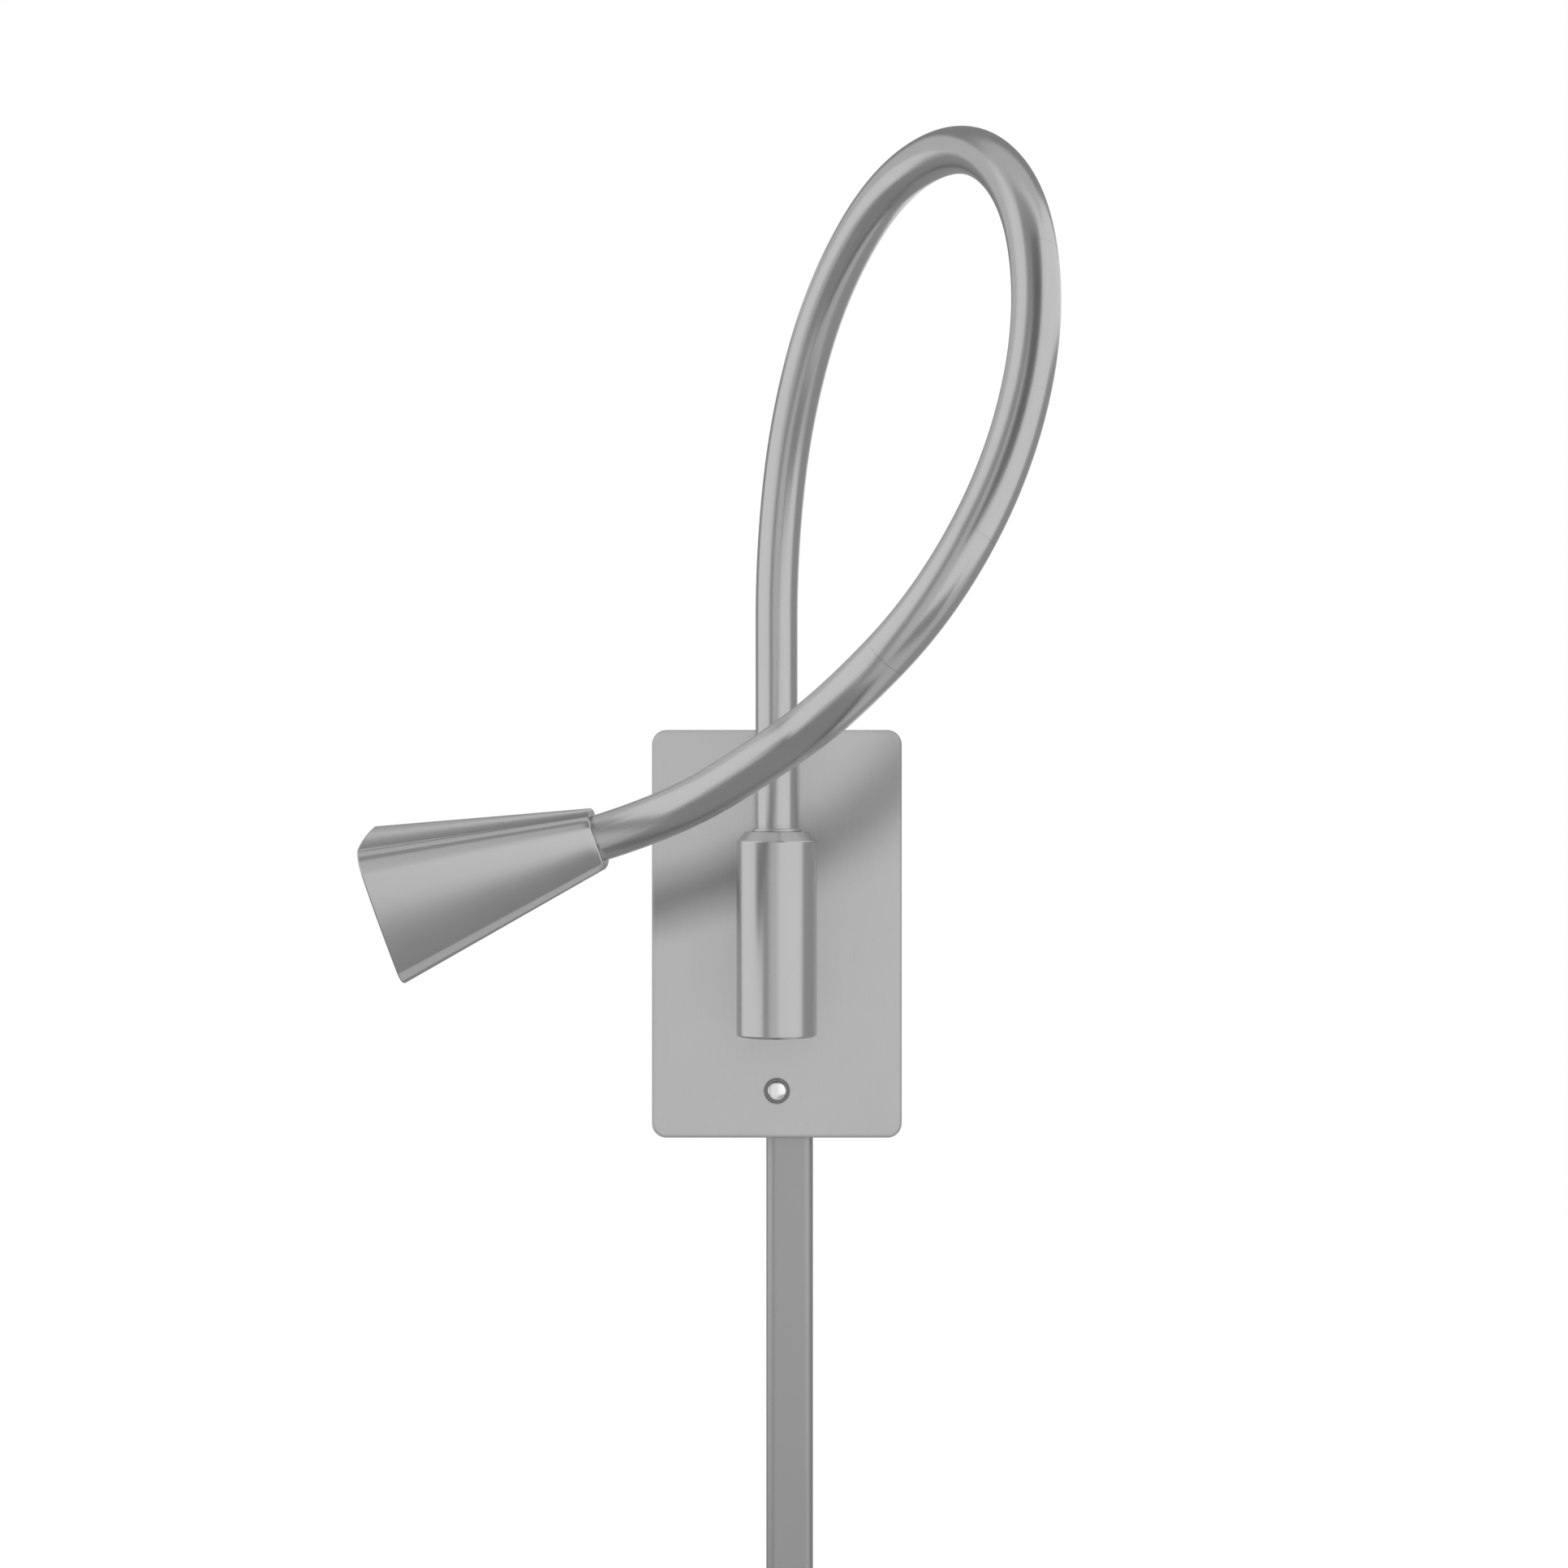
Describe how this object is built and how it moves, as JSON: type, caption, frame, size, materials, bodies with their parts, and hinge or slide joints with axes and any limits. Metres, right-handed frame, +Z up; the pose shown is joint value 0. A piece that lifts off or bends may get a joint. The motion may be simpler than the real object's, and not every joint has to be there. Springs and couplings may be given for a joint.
{
  "type": "swing arm wall lamp",
  "caption": "Plug-in wall lamp: upright post on a tray-shaped wall plate carries a smooth flexible arm that ends in a tapered square LED head; push button and wall cord cover.",
  "frame": {"origin": "on the wall, at the centre of the wall plate and of the bracket's four screw holes", "axes": "+Z up, +X to the right as seen from the room, -Y out into the room"},
  "size_m": [0.1674, 0.1805, 0.5621],
  "materials": {
    "satin_nickel": "satin, brushed along the length",
    "zinc_plated_steel": "zinc plated",
    "brass": "turned",
    "chrome": "polished",
    "spring_steel": "oiled",
    "aluminium": "milled",
    "circuit_board": "solder mask",
    "dark_core": "ferrite",
    "capacitor_sleeve": "shrink sleeve",
    "black_plastic": "moulded",
    "white_plastic": "moulded",
    "lead_sheath": "smooth sheath",
    "light_source": "phosphor",
    "lens": "clear moulded acrylic"
  },
  "bodies": {
    "lamp_base": {"back_plate": "satin_nickel", "wall_bracket": "zinc_plated_steel", "plate_screws": "satin_nickel", "driver_board": "circuit_board", "board_spacers": "brass", "board_screws": "zinc_plated_steel", "driver_transformer": "dark_core", "driver_capacitors": "capacitor_sleeve", "driver_chips": "black_plastic", "cord_terminals": "white_plastic", "switch_collar": "black_plastic", "switch_body": "black_plastic", "switch_spring": "spring_steel", "post_stub": "satin_nickel", "stub_washer": "zinc_plated_steel", "stub_nut": "brass", "post": "satin_nickel", "post_cap": "satin_nickel", "swivel_bushing": "satin_nickel", "thrust_washer": "white_plastic", "stop_pin": "spring_steel", "led_lead": "lead_sheath", "cord_channel": "satin_nickel", "cord_cover": "satin_nickel"},
    "button": {"switch_button": "chrome"},
    "arm_foot": {"swivel_stem": "satin_nickel", "stem_clip": "spring_steel", "arm_bend_1": "satin_nickel"},
    "link_1": {"arm_link_1": "satin_nickel", "arm_bend_2": "satin_nickel"},
    "link_2": {"arm_link_2": "satin_nickel", "arm_bend_3": "satin_nickel"},
    "link_3": {"arm_link_3": "satin_nickel", "arm_bend_4": "satin_nickel"},
    "link_4": {"arm_link_4": "satin_nickel", "arm_bend_5": "satin_nickel"},
    "link_5": {"arm_link_5": "satin_nickel", "arm_bend_6": "satin_nickel"},
    "link_6": {"arm_link_6": "satin_nickel", "arm_bend_7": "satin_nickel"},
    "head": {"head_shell": "satin_nickel", "head_ferrule": "brass", "head_nut": "brass", "heat_sink": "aluminium", "led_board": "aluminium", "led_chip": "light_source", "lens": "lens", "lens_ring": "black_plastic"}
  },
  "joints": [
    {"name": "button_press", "type": "slide", "parent": "lamp_base", "child": "button", "axis": [0, 1, 0], "range_m": [0, 0.0012], "stiffness_N_per_m": 1500, "springref_m": -0.0005, "deforming": ["switch_spring"]},
    {"name": "arm_swivel", "type": "hinge", "parent": "lamp_base", "child": "arm_foot", "pos_m": [0, -0.035, 0.031], "axis": [0, 0, 1], "range_deg": [-35, 65], "deforming": ["led_lead"]},
    {"name": "arm_bend_1", "type": "hinge", "parent": "arm_foot", "child": "link_1", "pos_m": [0, -0.035, 0.0588], "axis": [1, 0, 0], "range_deg": [-20, 35], "deforming": ["arm_bend_1", "led_lead"]},
    {"name": "arm_bend_2", "type": "hinge", "parent": "link_1", "child": "link_2", "pos_m": [0.00462, -0.04834, 0.14054], "axis": [0.5448, -0.7438, -0.3873], "range_deg": [-45, 25], "deforming": ["arm_bend_2", "led_lead"]},
    {"name": "arm_bend_3", "type": "hinge", "parent": "link_2", "child": "link_3", "pos_m": [0.02913, -0.09001, 0.19373], "axis": [0.8754, 0.4799, -0.0579], "range_deg": [-50, 25], "deforming": ["arm_bend_3", "led_lead"]},
    {"name": "arm_bend_4", "type": "hinge", "parent": "link_3", "child": "link_4", "pos_m": [0.05743, -0.14761, 0.17935], "axis": [-0.4561, 0.6074, -0.6504], "range_deg": [-35, 35], "deforming": ["arm_bend_4", "led_lead"]},
    {"name": "arm_bend_5", "type": "hinge", "parent": "link_4", "child": "link_5", "pos_m": [0.05199, -0.1716, 0.11436], "axis": [0.2718, 0.9254, -0.2642], "range_deg": [-40, 40], "deforming": ["arm_bend_5", "led_lead"]},
    {"name": "arm_bend_6", "type": "hinge", "parent": "link_5", "child": "link_6", "pos_m": [0.01493, -0.16295, 0.0611], "axis": [0.2834, 0.7789, 0.5595], "range_deg": [-40, 40], "deforming": ["arm_bend_6", "led_lead"]},
    {"name": "arm_bend_7", "type": "hinge", "parent": "link_6", "child": "head", "pos_m": [-0.02667, -0.11687, 0.03429], "axis": [-0.2585, 0.3179, 0.9122], "range_deg": [-40, 40], "deforming": ["arm_bend_7", "led_lead"]}
  ]
}
